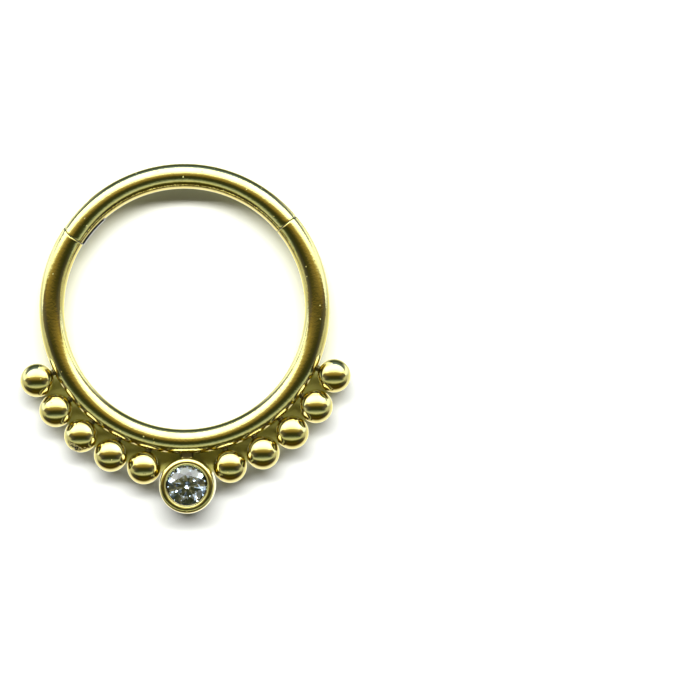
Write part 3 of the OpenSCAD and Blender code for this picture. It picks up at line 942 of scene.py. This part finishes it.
# A long lamp across the table, which gives the light on it and the shadows. The gold doesn't mirror it.
lamp = bpy.data.objects.new("lamp", bpy.data.lights.new("lamp", "AREA"))
bpy.context.scene.collection.objects.link(lamp)
lamp_away, lamp_up = 0.6, np.radians(55)
lamp_l, lamp_w, lamp_power = 1.6, 0.14, 24.0
lamp.data.shape = "RECTANGLE"
lamp.data.size, lamp.data.size_y = lamp_l, lamp_w
lamp.data.energy = lamp_power
lamp.location = (0, lamp_away * np.cos(lamp_up), lamp_away * np.sin(lamp_up))
lamp.rotation_euler = (-(np.pi / 2 - lamp_up), 0, 0)
lamp.visible_glossy = False
lamp.visible_camera = False

# What the gold mirrors: the room, the table round it and the lamp, by how far a direction leans from
# straight up. Plus leans towards the lamp and minus away from it, up to straight down at 180 both ways.
world = bpy.data.worlds.new("studio")
bpy.context.scene.world = world
world.use_nodes = True
tree = world.node_tree
direction = add(tree, "ShaderNodeTexCoord").outputs["Generated"]
split = parts(tree, direction)
lean = calc(tree, "MULTIPLY", calc(tree, "ARCTAN2", split["Y"], split["Z"]), 180 / np.pi)
aside = calc(tree, "ABSOLUTE", split["X"])
# Towards both sides the light from behind stands lower, and the lamp starts a little higher
cube = calc(tree, "POWER", aside, 3.0)
behind = calc(
    tree, "MULTIPLY", spread(tree, lean, -180, -150, 0, 1), spread(tree, lean, -20, 0, 1, 0)
)
drop = spread(tree, lean, -100, -65, 40, 28)
lower = calc(tree, "MULTIPLY", calc(tree, "MULTIPLY", cube, drop), behind)
before = calc(tree, "MULTIPLY", spread(tree, lean, 0, 10, 0, 1), spread(tree, lean, 60, 80, 1, 0))
ends = spread(tree, aside, 0.7, 0.95, 0.0, 8.0, "SMOOTHSTEP")
higher = calc(tree, "MULTIPLY", ends, before)
place = spread(
    tree, calc(tree, "SUBTRACT", calc(tree, "ADD", lean, lower), higher), -180, 180, 0.0, 1.0
)
# The lean in degrees, how bright it is there, and its tint. PEAK brings the brightest under 1 in the ramp.
PEAK = 4.0
LIGHTS = [
    (-180, 1.35, (1, 1, 0.97)),
    (-156, 1.18, (1, 1, 0.97)),
    (-138, 1.36, (1, 1, 1.12)),
    (-124, 1.46, (1, 0.97, 1.15)),
    (-116, 1.15, (1, 0.93, 1)),
    (-109, 0.52, (1, 0.84, 0.5)),
    (-102, 0.22, (1, 0.76, 0.2)),
    (-92, 0.12, (1, 0.7, 0.1)),
    (-86, 0.07, (1, 0.7, 0.1)),
    (-67, 0.04, (1, 0.9, 0.1)),
    (-59, 0.10, (1, 1, 0.3)),
    (-50, 0.68, (1, 1.05, 0.95)),
    (-42, 0.58, (0.9, 1, 1.1)),
    (-33, 0.24, (0.85, 1.05, 1.1)),
    (-25, 0.05, (0.9, 1.15, 0.7)),
    (-11, 0.036, (1, 1.05, 0.35)),
    (-2, 0.072, (1, 0.9, 0.35)),
    (6, 0.22, (1, 0.76, 0.3)),
    (14, 0.36, (1, 0.76, 0.28)),
    (21, 0.52, (1, 0.84, 0.5)),
    (27, 1.10, (1, 0.98, 0.9)),
    (35, 2.20, (1, 1, 1)),
    (49, 3.30, (1, 1, 1)),
    (79, 3.30, (0.85, 1, 1.05)),
    (86, 0.80, (0.7, 0.9, 2.4)),
    (92, 0.54, (0.7, 0.95, 2.2)),
    (100, 0.58, (0.65, 0.95, 1.6)),
    (110, 0.20, (0.7, 1, 1)),
    (127, 0.07, (0.75, 1, 0.9)),
    (137, 0.30, (0.9, 1, 1)),
    (150, 0.98, (0.95, 1, 1.05)),
    (180, 1.35, (1, 1, 0.97)),
]
ramp = add(tree, "ShaderNodeValToRGB", {"Fac": place})
stops = ramp.color_ramp.elements
while len(stops) < len(LIGHTS):
    stops.new(0.5)
for stop, (at, bright, tint) in zip(stops, LIGHTS):
    stop.position = (at + 180) / 360
    stop.color = (*(bright / PEAK * t for t in tint), 1)
# The table's light falls off towards the horizon, and the lamp's towards its ends
near_table = spread(tree, split["Z"], -1.0, 0.0, 1.07, 0.25)
above_table = spread(tree, split["Z"], 0.0, 0.001, 0.0, 1.0)
share = calc(tree, "MAXIMUM", near_table, above_table)
lamp_end = spread(tree, aside, 0.75, 1.0, 1.0, 0.4, "SMOOTHSTEP")
in_lamp = calc(
    tree, "MULTIPLY", spread(tree, lean, 14, 26, 0, 1), spread(tree, lean, 84, 100, 1, 0)
)
share = calc(tree, "MINIMUM", share, calc(tree, "MAXIMUM", lamp_end, calc(tree, "SUBTRACT", 1, in_lamp)))
faded = add(tree, "ShaderNodeVectorMath", {0: ramp.outputs["Color"], "Scale": share}, operation="SCALE")
# The room to both sides is less dark, and the table is bright under the lamp's two ends
sides = calc(tree, "MULTIPLY", cube, 0.15 / PEAK)
outmost = calc(
    tree, "MULTIPLY", spread(tree, aside, 0.82, 1.0, 0, 0.5 / PEAK, "SMOOTHSTEP"),
    spread(tree, lean, -42, -28, 1, 0),
)
sides = calc(tree, "ADD", sides, outmost)
twelfth = calc(tree, "POWER", aside, 12.0)
edge = calc(tree, "MULTIPLY_ADD", aside, 32.0, lean)
edge = calc(tree, "MULTIPLY_ADD", twelfth, 85.0, edge)
lit = calc(
    tree, "MAXIMUM", spread(tree, edge, 138, 158, 0, 1, "SMOOTHSTEP"), spread(tree, edge, 118, 150, 0, 0.35)
)
lit = calc(tree, "MULTIPLY", lit, spread(tree, aside, 0.4, 0.65, 0, 1.5 / PEAK, "SMOOTHSTEP"))
lit = calc(tree, "MULTIPLY", lit, spread(tree, lean, 140, 180, 1, 0.4))
lit = add(tree, "ShaderNodeVectorMath", {0: (0.85, 0.93, 1.3), "Scale": lit}, operation="SCALE").outputs[0]
room = add(tree, "ShaderNodeVectorMath", {0: faded.outputs[0], 1: lit}, operation="MAXIMUM").outputs[0]
room = add(tree, "ShaderNodeVectorMath", {0: room, 1: sides}, operation="MAXIMUM")
# Light that the gold has mirrored twice is bluer, and light that it has mirrored more often is dim, because
# the real lamp is a narrow strip, and never lights all of the ring at once. The clear stone is left out of
# this.
path = add(tree, "ShaderNodeLightPath").outputs
again = calc(tree, "GREATER_THAN", path["Glossy Depth"], 1.5)
again = calc(tree, "MULTIPLY", again, calc(tree, "LESS_THAN", path["Transmission Depth"], 0.5))
often = calc(tree, "GREATER_THAN", path["Glossy Depth"], 2.5)
twice = blend(tree, often, (0.95, 1.0, 2.4, 1), (0.3, 0.27, 0.25, 1))
less = blend(tree, again, (1, 1, 1, 1), twice)
mirrored_room = add(tree, "ShaderNodeVectorMath", {0: room.outputs[0], 1: less}, operation="MULTIPLY")
background = tree.nodes["Background"].inputs
tree.links.new(mirrored_room.outputs[0], background["Color"])
background["Strength"].default_value = PEAK

bpy.context.scene.view_settings.view_transform = "Standard"

# The camera looks straight down, as in the photograph: the picture's width and one pixel in millimetres, how
# far the ring lies turned in the picture, and the pixel where its middle is
PHOTO, pixel = 700, 0.0499
turned_deg = 0.9
ring_px = (184.5, 308.8)
lens, sensor = 200.0, 36.0
frame_w = PHOTO * pixel
away = frame_w * lens / sensor
turn = np.radians(turned_deg)
off = np.array([PHOTO / 2 - ring_px[0], ring_px[1] - PHOTO / 2]) * pixel
look = ring_mid[:2] + [
    off[0] * np.cos(turn) + off[1] * np.sin(turn), -off[0] * np.sin(turn) + off[1] * np.cos(turn),
]
camera = bpy.data.objects.new("camera", bpy.data.cameras.new("camera"))
bpy.context.scene.collection.objects.link(camera)
camera.data.lens, camera.data.sensor_width = lens, sensor
camera.data.clip_start, camera.data.clip_end = 0.01, 10
camera.location = (look[0] * MM, look[1] * MM, (ring_mid[2] + away) * MM)
camera.rotation_euler = (0, 0, -turn)
bpy.context.scene.camera = camera
